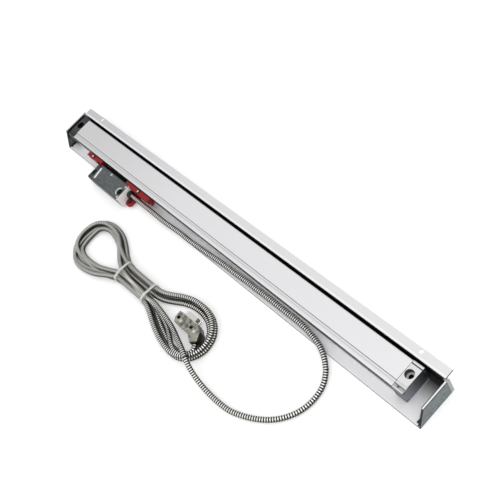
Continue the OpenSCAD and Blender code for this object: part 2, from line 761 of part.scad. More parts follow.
module bracket_screws() color("whitesmoke") {
  mid_y = (bar_front + bar_rear) / 2;
  for (x = [bar_left_screw_x, bar_right_screw_x]) {
    translate([x, mid_y, bar_z0 - 4.5]) cylinder(h = bar_z1 - bar_z0 + 4.6, r = bracket_screw_r);
    translate([x, mid_y, bar_z1]) cylinder(h = 1.4, r = bracket_head_r);
  }
  for (x = bracket_side_x) {
    rod_y(head_rear - 3, bar_rear - 1.5 - head_rear + 3, x, bar_mid_z, bracket_screw_r);
    rod_y(bar_rear - 1.6, 1.3, x, bar_mid_z, bracket_head_r);
  }
  translate([lug_at[0], lug_at[1], lug_z0]) cylinder(h = lug_z1 - lug_z0 + 0.1, r = bracket_screw_r);
  translate([lug_at[0], lug_at[1], lug_z1]) cylinder(h = 1.4, r = bracket_head_r);
}

// ---------------------------------------------------------------- cord

// Centre of the cable at each point of the route
run_path = [for (p = run_route) [p[0] + cord_shift, p[1], p[2] + cable_r]];

function unit(v) = v / norm(v);
function heading(path, i) = unit(path[min(i + 1, len(path) - 1)] - path[max(i - 1, 0)]);
function ring(c, dir, r, sides) =
  let (across = unit(cross(dir, [0, 0, 1])), up = cross(across, dir))
  [for (k = [0 : sides - 1]) let (a = 360 * k / sides) c + r * (cos(a) * across + sin(a) * up)];

// A closed tube swept through the points of a path
module tube(path, r, sides) {
  n = len(path);
  points = [for (i = [0 : n - 1]) each ring(path[i], heading(path, i), r, sides)];
  walls = [
    for (i = [0 : n - 2], k = [0 : sides - 1])
      let (k2 = (k + 1) % sides)
      [i * sides + k, i * sides + k2, (i + 1) * sides + k2, (i + 1) * sides + k]
  ];
  first = [for (k = [0 : sides - 1]) sides - 1 - k];
  last = [for (k = [0 : sides - 1]) (n - 1) * sides + k];
  polyhedron(points = points, faces = concat(walls, [first, last]), convexity = 6);
}

module cable_run() color("lightslategray") tube(run_path, cable_r, run_sides);

module disc(c, r) translate(c) circle(r = r);

// The coiled cable as one dumbbell-shaped pack with its two eyes
module cable_hank() color("lightslategray") at_hank() difference() {
  linear_extrude(hank_h) difference() {
    union() {
      hull() {
        disc(loop_a, loop_a_r);
        disc(waist_a, waist_a_r);
      }
      hull() {
        disc(waist_a, waist_a_r);
        disc(waist_b, waist_b_r);
      }
      hull() {
        disc(waist_b, waist_b_r);
        disc(loop_b, loop_b_r);
      }
    }
    hull() {
      disc(loop_a + [0, 1], loop_a_r - hank_band);
      disc(eye_a, eye_r);
    }
    hull() {
      disc(loop_b + [2, 4], loop_b_r - hank_band);
      disc(eye_b, eye_r);
    }
  }
  tie_ring(tie_left_at);
  tie_ring(tie_right_at);
  plug_pose() translate([0, 0, -plug_z - 1]) linear_extrude(hank_h + 2)
    polygon([for (p = hood_outline) p * plug_room]);
}

module at_hank() translate([cord_shift, 0, 0]) children();

// A cable tie's band: a square loop round the pack
module tie_ring(at) translate([at[0], at[1], 0]) difference() {
  box([-tie_w / 2, -tie_half, 0], [tie_w / 2, tie_half, hank_h + 0.1]);
  box([-tie_w, -tie_half + tie_t, tie_t], [tie_w, tie_half - tie_t, hank_h + 1]);
}

module cable_tie(at) {
  tie_ring(at);
  translate([at[0], at[1], hank_h]) {
    box([-tie_w / 2, -tie_half, 0], [tie_w / 2, tie_half, tie_t]);
    box([-lock_half, lock_y, 0], [lock_half, lock_y + 2 * lock_half, lock_h]);
  }
}

module cable_tie_left() color("ivory") at_hank() cable_tie(tie_left_at);
module cable_tie_right() color("ivory") at_hank() cable_tie(tie_right_at);

// ---------------------------------------------------------------- plug

module plug_pose() translate([plug_at[0], plug_at[1], plug_z]) rotate([0, 0, plug_turn]) children();
module in_plug_frame() at_hank() plug_pose() children();

// Half of the hood, drawn as the bottom half; the top half is its mirror image
module hood_half() difference() {
  translate([0, 0, -hood_t / 2]) linear_extrude(hood_t / 2) polygon(hood_outline);
  translate([0, 0, hood_wall - hood_t / 2]) linear_extrude(hood_t) polygon(hood_inside);
  // Windows of the two jackscrews and their bores to the front
  for (s = [-1, 1]) {
    translate([s * jack_x, jack_window_y, -hood_t]) linear_extrude(2 * hood_t)
      square(jack_window, center = true);
    rod_y(-6, 8, s * jack_x, 0, jack_r + 0.06);
  }
  // Way out for the cable
  translate([neck_mid[0], neck_mid[1], 0]) rotate([0, 0, -45]) rotate([0, 90, 0])
    translate([0, 0, -9]) cylinder(h = 12, r = cable_r + 0.1);
  for (p = hood_screw_at) translate([p[0], p[1], -hood_t]) cylinder(h = 2 * hood_t, r = hood_screw_r + 0.1);
}

module plug_hood_bottom() color("tan") in_plug_frame() hood_half();

module plug_hood_top() color("tan") in_plug_frame() mirror([0, 0, 1]) difference() {
  hood_half();
  for (p = hood_screw_at)
    translate([p[0], p[1], -hood_t / 2 - 1]) cylinder(h = 1.9, r = hood_screw_head_r + 0.1);
}

module plug_hood_screws() color("silver") in_plug_frame()
  for (p = hood_screw_at) translate([p[0], p[1], 0]) {
    translate([0, 0, 0.5 - hood_t / 2]) cylinder(h = hood_t - 1.4, r = hood_screw_r);
    translate([0, 0, hood_t / 2 - 0.9]) cylinder(h = 1.1, r = hood_screw_head_r);
  }

// D-shaped outline in the [x, z] plane: wide at the top, with leaning sides
module d_outline(grow) polygon([
  [-8.2 - grow, 4.1 + grow], [8.2 + grow, 4.1 + grow], [6.7 + grow, -4.1 - grow], [-6.7 - grow, -4.1 - grow]
]);

module along_plug(y0, len) translate([0, y0 + len, 0]) rotate([90, 0, 0]) linear_extrude(len) children();

module plug_shell() color("silver") in_plug_frame() difference() {
  union() {
    along_plug(0, flange_t) square([flange_len, flange_h], center = true);
    along_plug(flange_t, shell_len) d_outline(shell_wall);
  }
  along_plug(-1, shell_len + 4) d_outline(0);
  for (s = [-1, 1]) rod_y(-1, 4, s * jack_x, 0, jack_r + 0.06);
}

module plug_insert() color("black") in_plug_frame() difference() {
  union() {
    along_plug(-4, 4) d_outline(1.2);
    along_plug(0, 2) d_outline(0);
  }
  pins(0.02);
}

// Nine contacts in two rows
module pins(fit) {
  for (i = [0 : 4]) rod_y(-4.8, 11, (i - 2) * pin_pitch, pin_row / 2, pin_r + fit);
  for (i = [0 : 3]) rod_y(-4.8, 11, (i - 1.5) * pin_pitch, -pin_row / 2, pin_r + fit);
}

module plug_pins() color("gold") in_plug_frame() pins(0);

// A jackscrew: thread through the flange, knurled head in the hood's window
module jackscrew(side) in_plug_frame() translate([side * jack_x, 0, 0]) {
  rod_y(-6, 12, 0, 0, jack_r);
  rod_y(-9.2, 3.4, 0, 0, 2.0);
}

module jackscrew_left() color("silver") jackscrew(-1);
module jackscrew_right() color("silver") jackscrew(1);

// ---------------------------------------------------------------- nodes

cover_profile();
cover_cap_far();
cover_cap_near();
housing();
end_block_far();
end_block_near();
end_gaskets();
end_block_screws();
seal_clamps();
seal_screws();
lip_seal_upper();
lip_seal_lower();
glass_scale();
glass_cushion();
head_casting();
head_lid();
head_gasket();
head_lid_screws();
signal_board();
cable_gland();
gland_nut();
guide_blade();
coupling_spring();
carriage_frame();
led_board();
detector_board();
roller_axles();
roller_face_1();
roller_face_2();
roller_face_3();
roller_edge_1();
roller_edge_2();
bracket_left();
bracket_right();
bracket_screws();
cable_run();
cable_hank();
cable_tie_left();
cable_tie_right();
plug_hood_bottom();
plug_hood_top();
plug_hood_screws();
plug_shell();
plug_insert();
plug_pins();
jackscrew_left();
jackscrew_right();
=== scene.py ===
import math

import bmesh
import bpy
import numpy as np
from mathutils import Matrix, Vector


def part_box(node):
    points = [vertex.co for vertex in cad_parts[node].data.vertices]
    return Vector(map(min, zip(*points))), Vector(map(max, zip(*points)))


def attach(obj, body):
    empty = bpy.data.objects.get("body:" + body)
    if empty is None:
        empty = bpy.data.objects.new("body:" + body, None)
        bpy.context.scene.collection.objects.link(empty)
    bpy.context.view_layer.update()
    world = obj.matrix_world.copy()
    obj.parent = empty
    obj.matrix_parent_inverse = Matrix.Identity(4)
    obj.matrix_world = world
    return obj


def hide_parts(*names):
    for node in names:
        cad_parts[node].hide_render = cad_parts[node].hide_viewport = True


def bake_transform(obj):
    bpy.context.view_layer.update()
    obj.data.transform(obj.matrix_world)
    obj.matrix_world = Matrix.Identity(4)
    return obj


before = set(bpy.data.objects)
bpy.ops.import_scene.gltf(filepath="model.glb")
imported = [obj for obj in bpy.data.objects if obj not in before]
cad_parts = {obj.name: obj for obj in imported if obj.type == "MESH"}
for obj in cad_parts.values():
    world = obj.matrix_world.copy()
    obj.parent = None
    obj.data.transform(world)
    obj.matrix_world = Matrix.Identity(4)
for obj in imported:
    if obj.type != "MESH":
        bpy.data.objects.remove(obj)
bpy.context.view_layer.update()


# Camera: beside and above the near end, looking along the scale with a normal lens. Its three
# axes are the view's right, the view's top and the way back from the object.
lens = bpy.data.cameras.new("camera")
lens.sensor_width = 36.0
lens.lens = 58.53
lens.clip_end = 20.0
camera = bpy.data.objects.new("camera", lens)
bpy.context.scene.collection.objects.link(camera)
view_right = (0.6325, 0.6780, -0.3745)
view_top = (-0.4763, 0.7217, 0.5023)
view_back = (0.6108, -0.1393, 0.7794)
turn = Matrix((view_right, view_top, view_back)).transposed()
camera.matrix_world = Matrix.Translation((0.6775, -0.1350, 0.8124)) @ turn.to_4x4()
bpy.context.scene.camera = camera

# Housing: an extruded aluminium profile with a clear satin oxide and drawn lines along its length.
# A lower strip runs along the front of its top, and the slots beside it are painted dark as shade.


class Sock:
    """A shader socket that works as a number: + - and * add Math nodes, node() adds any other."""

    def __init__(self, tree, socket):
        self.tree, self.socket = tree, socket

    def node(self, kind, out=0, ins=None, **settings):
        made = self.tree.nodes.new("ShaderNode" + kind)
        for key, value in settings.items():
            setattr(made, key, value)
        for key, value in (ins or {}).items():
            if isinstance(value, Sock):
                self.tree.links.new(value.socket, made.inputs[key])
            else:
                made.inputs[key].default_value = value
        return Sock(self.tree, made.outputs[out])

    def maths(self, operation, *values):
        return self.node("Math", operation=operation, ins=dict(enumerate(values)))

    def __add__(self, other):
        return self.maths("ADD", self, other)

    def __sub__(self, other):
        return self.maths("SUBTRACT", self, other)

    def __rsub__(self, other):
        return self.maths("SUBTRACT", other, self)

    def __mul__(self, other):
        return self.maths("MULTIPLY", self, other)

    __radd__, __rmul__ = __add__, __mul__

    def ramp(self, low, high):
        """0 below low, 1 above high and smooth between."""
        return self.node("MapRange", ins={"Value": self, "From Min": low, "From Max": high},
                         interpolation_type="SMOOTHSTEP")

    def band(self, low, high, soft=0.0002):
        """1 between low and high, fading out over soft beyond each."""
        return self.ramp(low - soft, low) * (1 - self.ramp(high, high + soft))

    def mix(self, low, high):
        """A colour: low where this is 0, high where it is 1."""
        low, high = ((*c, 1) if isinstance(c, tuple) else c for c in (low, high))
        return self.node("Mix", out=2, data_type="RGBA", ins={0: self, 6: low, 7: high})

    def axes(self):
        """The three parts of a place or a direction."""
        parted = self.node("SeparateXYZ", ins={0: self}).socket.node
        return [Sock(self.tree, out) for out in parted.outputs]

    def off(self, x, y):
        """Distance in the XY plane from a point."""
        flat = self.node("VectorMath", operation="MULTIPLY", ins={0: self, 1: (1, 1, 0)})
        return flat.node("VectorMath", out=1, operation="DISTANCE", ins={0: flat, 1: (x, y, 0)})

    def noise(self, size, stretch=(1, 1, 1), detail=2.0):
        """Noise with grains about size metres across, drawn out along the axes by stretch."""
        grain = [size * s for s in stretch]
        scaled = self.node("VectorMath", operation="DIVIDE", ins={0: self, 1: grain})
        return scaled.node("TexNoise", ins={"Vector": scaled, "Scale": 1.0, "Detail": detail})


def surface(name, **fixed):
    """A new material with its shader, and the place and the facing that patterns start from."""
    mat = bpy.data.materials.new(name)
    mat.use_nodes = True
    shader = mat.node_tree.nodes["Principled BSDF"]
    for key, value in fixed.items():
        shader.inputs[key.replace("_", " ")].default_value = value
    coords = mat.node_tree.nodes.new("ShaderNodeTexCoord")
    place, facing = (Sock(mat.node_tree, coords.outputs[out]) for out in ("Object", "Normal"))
    return mat, shader, place, facing


def feed(shader, name, sock):
    """Let a pattern drive one of the shader's inputs."""
    sock.tree.links.new(sock.socket, shader.inputs[name])


def relief(shader, sock, height):
    """Raise and lower the surface by a pattern, over height metres."""
    feed(shader, "Normal", sock.node("Bump", ins={"Height": sock, "Distance": height, "Strength": 1.0}))


def dress(mat, *nodes):
    """Give the finish to solids that keep their own shape."""
    for name in nodes:
        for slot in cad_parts[name].material_slots:
            slot.material = mat


low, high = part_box("housing")
front, rear = low[1], high[1]
step = front + 0.0093               # where the lower strip meets the flat top
skin, shader, place, facing = surface("housing_oxide")
x, y, z = place.axes()
side = facing.axes()[1]
drawn = place.noise(0.0005, stretch=(120, 1, 1))
tint = drawn.mix((0.75, 0.75, 0.76), (0.83, 0.83, 0.84))
# Painted light: it is paler towards the near end. Along the step a fine dark line is painted shade
# and a fine bright line a painted highlight; a slightly darker band runs within the lower strip
tint = (x.ramp(-0.34, -0.02) * (0.6 + 0.8 * drawn)).mix(tint, (0.93, 0.93, 0.945))
tint = y.band(step - 0.0010, step - 0.0001).mix(tint, (0.54, 0.54, 0.55))
tint = y.band(step - 0.0040, step - 0.0024).mix(tint, (0.72, 0.72, 0.74))
tint = y.band(step + 0.0002, step + 0.0010).mix(tint, (0.97, 0.97, 0.97))
# Painted shade: darker along the back edge, beside the gap behind the scale
tint = y.ramp(rear - 0.0028, rear).mix(tint, (0.55, 0.55, 0.56))
# The front face is pale at its foot and painted dark above it as the shade under the top edge,
# a painted shade that reaches lower at the ends. The back face is painted dark as shade
front_face = 1 - side.ramp(-0.6, -0.2)
tint = (front_face * (1 - z.ramp(0.0190, 0.0200))).mix(tint, (0.95, 0.95, 0.96))
slot_shade = front_face * (z + x.maths("ABSOLUTE", x) * 0.028).ramp(0.0195, 0.0205)
dark = slot_shade + side.ramp(0.3, 0.6)
feed(shader, "Base Color", dark.mix(tint, (0.012, 0.012, 0.014)))
feed(shader, "Metallic", 0.6 + 0.4 * dark - 0.55 * front_face)
feed(shader, "Roughness", drawn * 0.12 + 0.32)
relief(shader, drawn, 0.00003)
dress(skin, "housing")

# Glass scale: a clear glass strip with the fine ruled track along its middle, bonded into the
# housing on a soft elastic cushion.
glass, shader, place, _ = surface("scale_glass", Transmission_Weight=0.85, IOR=1.52)
lines_per_metre = 2500
x, _, z = place.axes()
ruled = x.maths("FRACT", x * lines_per_metre).ramp(0.35, 0.65)
track = z.band(0.010, 0.017)
feed(shader, "Base Color", (ruled * track).mix((0.80, 0.88, 0.86), (0.22, 0.20, 0.16)))
feed(shader, "Roughness", place.noise(0.01) * 0.05 + 0.03)
dress(glass, "glass_scale")


def finish(name, low, high, grain, depth, nodes, rough=0.4, stretch=(1, 1, 1), **fixed):
    """A finish whose colour and roughness drift a little, with a fine relief of the same grain."""
    mat, shader, place, _ = surface(name, **fixed)
    pattern = place.noise(grain, stretch)
    feed(shader, "Base Color", pattern.mix(low, high))
    feed(shader, "Roughness", pattern * 0.16 + (rough - 0.08))
    relief(shader, pattern, depth)
    dress(mat, *nodes)


finish("cushion_foam", (0.30, 0.30, 0.28), (0.42, 0.42, 0.40), 0.0009, 0.0001, ["glass_cushion"], 0.8)

# Lip seals and gaskets: black moulded rubber with a dull, faintly uneven skin. The lips are held
# along the housing's slit, the gaskets squeezed behind the end blocks and under the head's lid.
finish("rubber_black", (0.010, 0.010, 0.011), (0.024, 0.024, 0.026), 0.0007, 0.00003,
       ["end_gaskets", "lip_seal_upper", "lip_seal_lower", "head_gasket"], 0.6)

# End blocks: die-cast ends screwed to the housing, each with a counterbored mounting hole.
# The near one is bright on top with its end face painted dark as shade, and the far one is painted
# dark all over as the shade of its cap.
bore_r = 0.00575
hole_in, hole_back = 0.008, 0.022   # middle of the hole, from the outer end and the housing's front
for name, way in (("end_block_near", 1), ("end_block_far", -1)):
    low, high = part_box(name)
    outer = high[0] if way > 0 else low[0]
    hole = (outer - way * hole_in, front + hole_back)
    block, shader, place, facing = surface(name + "_casting", Metallic=0.5)
    y, z = place.axes()[1:]
    nx, ny, nz = facing.axes()
    grain = place.noise(0.0008)
    if way > 0:
        tint = grain.mix((0.78, 0.78, 0.79), (0.88, 0.88, 0.89))
        # Painted shade: the front face is dark, the end face dark and darker towards the back as shade and
        # reflection, and a thin dark line runs across the top near the back
        tint = ny.ramp(-0.8, -0.5).mix((0.10, 0.10, 0.11), tint)
        shade = (grain * 0.008 + y).ramp(front + 0.003, rear)
        tint = nx.ramp(0.3, 0.7).mix(tint, shade.mix((0.26, 0.28, 0.32), (0.055, 0.062, 0.078)))
        tint = y.band(rear - 0.0043, rear - 0.0032).mix(tint, (0.03, 0.03, 0.035))
    else:
        # Painted shade: the far block is dark all over, as in the shade of its cap
        tint = grain.mix((0.045, 0.048, 0.052), (0.085, 0.09, 0.095))
    # Painted shade and glint: the counterbore is black on its walls and near white on its floor
    sunk = 1 - z.ramp(high[2] - 0.0006, high[2] - 0.0003)
    bore = (1 - place.off(*hole).ramp(bore_r, 0.0062)) * sunk
    tint = bore.mix(tint, nz.ramp(0.5, 0.9).mix((0.006, 0.006, 0.007), (0.95, 0.95, 0.96)))
    feed(shader, "Base Color", tint)
    feed(shader, "Roughness", grain * 0.15 + 0.36)
    relief(shader, grain, 0.00004)
    dress(block, name)

# Clamp plates: small drawn steel plates screwed down over the ends of the lip seals, the far one
# painted dark as the shade of its cap. Their screws and those of the end blocks are of dark steel.
clamp, shader, place, _ = surface("clamp_steel", Metallic=0.7)
x, y = place.axes()[:2]
drawn = place.noise(0.0006, stretch=(12, 1, 1))
near_plate = drawn.mix((0.34, 0.34, 0.35), (0.62, 0.62, 0.64))
tint = x.ramp(-0.01, 0.01).mix((0.035, 0.037, 0.040), near_plate)
feed(shader, "Base Color", y.band(front + 0.0050, front + 0.0056).mix(tint, (0.10, 0.10, 0.105)))
feed(shader, "Roughness", drawn * 0.16 + 0.28)
relief(shader, drawn, 0.00003)
dress(clamp, "seal_clamps")
finish("screw_dark", (0.06, 0.06, 0.065), (0.16, 0.16, 0.17), 0.0004, 0.00002,
       ["seal_screws", "end_block_screws"], 0.30, Metallic=0.9)

# Blade and carriage: a dark steel blade that reaches through the lips, and a cast carriage that
# it pulls along by a bronze leaf, with steel rollers on their axles and the boards that read the
# glass. The head's own board has the same green lacquer.
finish("blade_dark", (0.004, 0.004, 0.0045), (0.012, 0.012, 0.013), 0.0009, 0.00002,
       ["guide_blade"], 0.6, Metallic=0.9)
finish("carriage_cast", (0.42, 0.42, 0.43), (0.58, 0.58, 0.60), 0.001, 0.00006,
       ["carriage_frame"], 0.42, Metallic=0.7)
finish("spring_bronze", (0.42, 0.24, 0.08), (0.58, 0.36, 0.14), 0.0008, 0.00002, ["coupling_spring"], 0.28,
       stretch=(20, 1, 1), Metallic=1.0)
finish("axle_steel", (0.48, 0.48, 0.50), (0.66, 0.66, 0.68), 0.0004, 0.00001,
       ["roller_axles"], 0.22, Metallic=1.0)
rollers = ["roller_face_1", "roller_face_2", "roller_face_3", "roller_edge_1", "roller_edge_2"]
finish("roller_steel", (0.38, 0.38, 0.40), (0.62, 0.62, 0.64), 0.0005, 0.00001,
       rollers, 0.2, Metallic=1.0)
finish("board_green", (0.008, 0.070, 0.028), (0.018, 0.115, 0.048), 0.0012, 0.00004,
       ["signal_board", "led_board", "detector_board"], 0.3, Coat_Weight=0.4)

# Reading head: an aluminium casting in dark grey oxide, its near end machined bright and painted near
# white as a highlight, and a brushed lid let into its top with a ridge painted bright and three screws.
low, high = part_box("head_casting")
near_end = high[0]
cast, shader, place, facing = surface("head_oxide")
x, _, z = place.axes()
nx, _, nz = facing.axes()
grain = place.noise(0.0008)
tint = grain.mix((0.045, 0.052, 0.054), (0.085, 0.095, 0.098))
# Painted highlight: the near end face and a line along the top of that end are near white, not metallic
bright_end = nx.ramp(0.5, 0.9) * x.ramp(near_end - 0.0004, near_end - 0.0002)
rim = x.ramp(near_end - 0.0016, near_end - 0.0013) * nz.ramp(0.5, 0.9)
bright = bright_end.maths("MAXIMUM", bright_end, rim)
tint = bright.mix(tint, (1.0, 0.985, 0.985))
feed(shader, "Metallic", 0.4 * (1 - bright))
hole = (near_end - 0.008, low[1] + 0.0115)      # light catches the far side of this mounting hole
crescent = place.off(*hole).band(0.0048, 0.0064) * (1 - x.ramp(hole[0] - 0.002, hole[0] + 0.001))
tint = (crescent * z.ramp(high[2] - 0.003, high[2] - 0.001)).mix(tint, (0.95, 0.95, 0.95))
feed(shader, "Base Color", tint)
feed(shader, "Roughness", grain * 0.15 + 0.38)
relief(shader, grain, 0.00005)
dress(cast, "head_casting")

lid, shader, place, _ = surface("lid_brushed", Metallic=0.45)
x, y, z = place.axes()
brushed = place.noise(0.0006, stretch=(16, 1, 1), detail=3.0)
tint = brushed.ramp(0.3, 0.7).mix((0.080, 0.090, 0.092), (0.17, 0.185, 0.185))
# The ridge, and the parts of the lid above the casting's top, are painted near white as polished metal and as
# a painted highlight
lean_angle = math.radians(10)       # the ridge stands across the lid, turned by this much
lean = x * math.cos(lean_angle) + y * math.sin(lean_angle)
foot = lean.band(-0.2502, -0.2474) * y.band(low[1] + 0.004, high[1] - 0.0045)
tint = (foot + z.ramp(high[2] + 0.0002, high[2] + 0.0004)).ramp(0, 1).mix(tint, (0.97, 0.97, 0.97))
feed(shader, "Base Color", tint)
feed(shader, "Roughness", brushed * 0.15 + 0.32)
relief(shader, brushed, 0.00005)
dress(lid, "head_lid")
finish("screw_bright", (0.62, 0.62, 0.63), (0.86, 0.86, 0.86), 0.0005, 0.00002,
       ["head_lid_screws", "plug_hood_screws"], 0.25, Metallic=0.95)

# Gland: a black moulded body screwed into the head's near end, with a nut that squeezes it
# round the cable.
finish("gland_black", (0.010, 0.010, 0.011), (0.026, 0.026, 0.028), 0.0009, 0.00004,
       ["cable_gland", "gland_nut"], 0.45)

# Armoured cable: one 7 mm stainless hose of rounded hoops, 3.3 m from gland to plug. It is laid
# in three lengths that meet end to end: the run that goes with the head, the stretch on the
# floor, and the tied hank.
cable_d = 0.007
hoop = 0.0031                       # length of one hoop along the cable
groove = 0.0007                     # depth of the groove between two hoops
sides = 16                          # corners round the hose

steel, shader, place, facing = surface("cable_steel", Metallic=1.0)
# Painted light and shade: the hoops are painted bright on their crests where they face up, as a
# highlight, and dark in the grooves and on the sides, as shade
crest = place.node("Attribute", out=2, attribute_name="crest")
wear = place.noise(0.004)
upward = facing.axes()[2].ramp(0.30, 0.95)
shine = (crest * (0.9 + 0.2 * wear)).ramp(0.62, 0.95) * (0.12 + 0.88 * upward)
tint = shine.mix((0.004, 0.004, 0.0035), (1.0, 0.99, 0.94))
feed(shader, "Base Color", tint)
feed(shader, "Roughness", wear * 0.15 + 0.22)


def between(a, b, c, d, t):
    """A Catmull-Rom bend: b at t = 0 and c at t = 1, with a before them and d after."""
    second = 2 * a - 5 * b + 4 * c - d
    third = 3 * b - a - 3 * c + d
    return 0.5 * (2 * b + (c - a) * t + second * t**2 + third * t**3)


def spline(points, spacing):
    """A smooth curve through the points, cut into equal steps of about the spacing."""
    p = np.array(points, float)
    p = np.vstack([2 * p[0] - p[1], p, 2 * p[-1] - p[-2]])
    t = np.linspace(0, 1, 24, endpoint=False)[:, None]
    bends = [between(*four, t) for four in zip(p, p[1:], p[2:], p[3:])]
    line = np.vstack(bends + [p[-2:-1]])
    run = np.concatenate([[0], np.cumsum(np.linalg.norm(np.diff(line, axis=0), axis=1))])
    at = np.linspace(0, run[-1], max(2, round(run[-1] / spacing) + 1))
    return np.column_stack([np.interp(at, run, line[:, k]) for k in range(3)])


def add(name, mesh, mat):
    """Put a mesh in the scene as an object of this material."""
    mesh.materials.append(mat)
    made = bpy.data.objects.new(name, mesh)
    bpy.context.scene.collection.objects.link(made)
    return made


def hose(name, line):
    """A hooped tube round a line whose steps are a third of a hoop, closed at both ends."""
    ahead = np.gradient(line, axis=0)
    ahead /= np.linalg.norm(ahead, axis=1)[:, None]
    across = np.cross(ahead[0], (0, 0, 1))
    across /= np.linalg.norm(across)
    points, crests, faces = [], [], []
    angles = np.linspace(0, 2 * math.pi, sides, endpoint=False)
    rise = (0.0, 1.0, 1.0)          # a hoop's first ring lies in the groove, its other two on top
    for i, (centre, way) in enumerate(zip(line, ahead)):
        across = across - way * (across @ way)
        across /= np.linalg.norm(across)
        over = np.cross(across, way)
        r = cable_d / 2 - (1 - rise[i % 3]) * groove
        for a in angles:
            points.append(centre + r * (math.cos(a) * across + math.sin(a) * over))
            crests.append(rise[i % 3])
    for i in range(len(line) - 1):
        for k in range(sides):
            a, b = i * sides + k, i * sides + (k + 1) % sides
            faces.append((a, a + sides, b + sides, b))
    faces.append(tuple(range(sides)))
    faces.append(tuple(range(len(points) - 1, len(points) - 1 - sides, -1)))
    mesh = bpy.data.meshes.new(name)
    mesh.from_pydata(points, [], faces)
    mesh.shade_smooth()
    mesh.attributes.new("crest", "FLOAT", "POINT").data.foreach_set("value", crests)
    made = add(name, mesh, steel)
    return made


# The route from gland to hank, as the part's source has it: x, y and the height of the underside.
run_route = [
    (-0.172, -0.032, 0.0085), (-0.152, -0.032, 0.0085), (-0.130, -0.032, 0.0085), (-0.112, -0.032, 0.008),
    (-0.094, -0.032, 0.007), (-0.076, -0.031, 0.0055), (-0.058, -0.030, 0.004), (-0.040, -0.030, 0.003),
    (-0.022, -0.029, 0.0022), (-0.004, -0.028, 0.0017), (0.014, -0.027, 0.0017), (0.034, -0.026, 0.0017),
    (0.054, -0.026, 0.0017), (0.074, -0.025, 0.0017), (0.094, -0.025, 0.0017), (0.114, -0.0245, 0.0017),
    (0.134, -0.0245, 0.0017), (0.152, -0.0245, 0.0017), (0.170, -0.0245, 0.0017), (0.186, -0.0255, 0.0017),
    (0.202, -0.028, 0.0017), (0.216, -0.032, 0.0017), (0.229, -0.039, 0.0012), (0.240, -0.048, 0.0005),
    (0.248, -0.060, 0.0001), (0.252, -0.074, 0.0001), (0.252, -0.089, 0.0001), (0.248, -0.104, 0.0001),
    (0.240, -0.118, 0.0001), (0.229, -0.130, 0.0001), (0.215, -0.140, 0.0001), (0.199, -0.148, 0.0001),
    (0.181, -0.154, 0.0001), (0.162, -0.156, 0.0006), (0.143, -0.156, 0.0025), (0.124, -0.154, 0.0065),
    (0.107, -0.150, 0.0115), (0.094, -0.145, 0.0140),
]
route = [(x, y, z + cable_d / 2) for x, y, z in run_route]

# Outer edge of the tied hank in millimetres, seen from above and going anticlockwise from the
# right tie along the side next to the scale.
hank_edge = [
    (-22, -103), (-40, -103.5), (-60, -104), (-80, -104), (-97, -99.5), (-112, -91), (-128, -82.5),
    (-146, -77.5), (-165, -77), (-182, -82), (-194, -93), (-199, -108), (-199, -125), (-194, -140),
    (-184, -150), (-168, -156.5), (-150, -157), (-132, -154), (-114, -148), (-98, -140), (-82, -133.5),
    (-60, -132.5), (-40, -132), (-22, -132.5), (-5, -137), (12, -144.5), (30, -151), (48, -155.5),
    (66, -156.8), (82, -153), (94, -144), (101.5, -131), (103, -117), (99, -103), (90, -92), (76, -84),
    (59, -80.5), (40, -81.5), (22, -87), (6, -95), (-8, -101),
]
ring = np.array(hank_edge) / 1000
count = len(ring)
lane_pitch = 1.03                   # from one strand's lane to the next, in cable widths
floor_gap = 0.0001                  # left between the cable and the floor


def lane(at, inset):
    """A point inset from the hank's edge, at a place counted in edge points."""

    def point(u):
        i = math.floor(u)
        return between(*(ring[(i + k) % count] for k in (-1, 0, 1, 2)), u - i)

    here, way = point(at), point(at + 0.6) - point(at - 0.6)
    normal = np.array((-way[1], way[0])) / np.linalg.norm(way)
    return here + normal * inset


# Places on the edge: the two ties on the way out, the left end, the two ties on the way back, and
# the right loop's lower bend, end and upper bend.
tie_r, tie_l, left, tie_l2, tie_r2, lower, end, upper = 0, 3.1, 11.5, 20, 23, 28.5, 32, 37
lap2, lap3, lap4 = count, 2 * count, 3 * count
# Where the cable lies on its way round: (place on the edge, lane counted inward, layer)
passes = [
    (tie_r + 0.6, 2.6, 1), (tie_l - 0.4, 1.6, 1), (left - 5, 0.6, 1), (left, 0.5, 0.95),
    (left + 4, 1.6, 0.2), (tie_l2, 0, 0), (tie_r2, 0, 0), (lower, 0, 0), (end, 0, 0), (upper, 0, 0),
    (lap2, 0, 0), (lap2 + tie_l, 0, 0), (lap2 + left, 0, 0), (lap2 + tie_l2, 1, 0),
    (lap2 + tie_r2, 1, 0), (lap2 + lower, 1, 0), (lap2 + end, 1, 0), (lap2 + upper, 1, 0),
    (lap3, 1, 0), (lap3 + tie_l, 1, 0), (lap3 + left, 1, 0), (lap3 + left + 4, 0, 0.2),
    (lap3 + tie_l2, 0, 1), (lap3 + tie_r2, 0, 1), (lap3 + lower, 0.1, 1), (lap3 + end, 0.1, 1),
    (lap3 + upper, 0.1, 1),
    (lap4, 0, 1), (lap4 + tie_l, 0, 1), (lap4 + left - 5, 1.2, 0.9), (lap4 + left, 2, 0.05),
    (lap4 + left + 4, 2, 0.2), (lap4 + tie_l2, 1, 1), (lap4 + tie_r2, 1, 1),
]
hank = []
for (u0, k0, h0), (u1, k1, h1) in zip(passes, passes[1:]):
    steps = max(2, round(u1 - u0))
    for j in range(steps):
        f = j / steps
        s = f * f * (3 - 2 * f)
        x, y = lane(u0 + (u1 - u0) * f, cable_d * (0.5 + (k0 + (k1 - k0) * s) * lane_pitch))
        hank.append((x, y, cable_d / 2 + floor_gap + cable_d * (h0 + (h1 - h0) * s)))
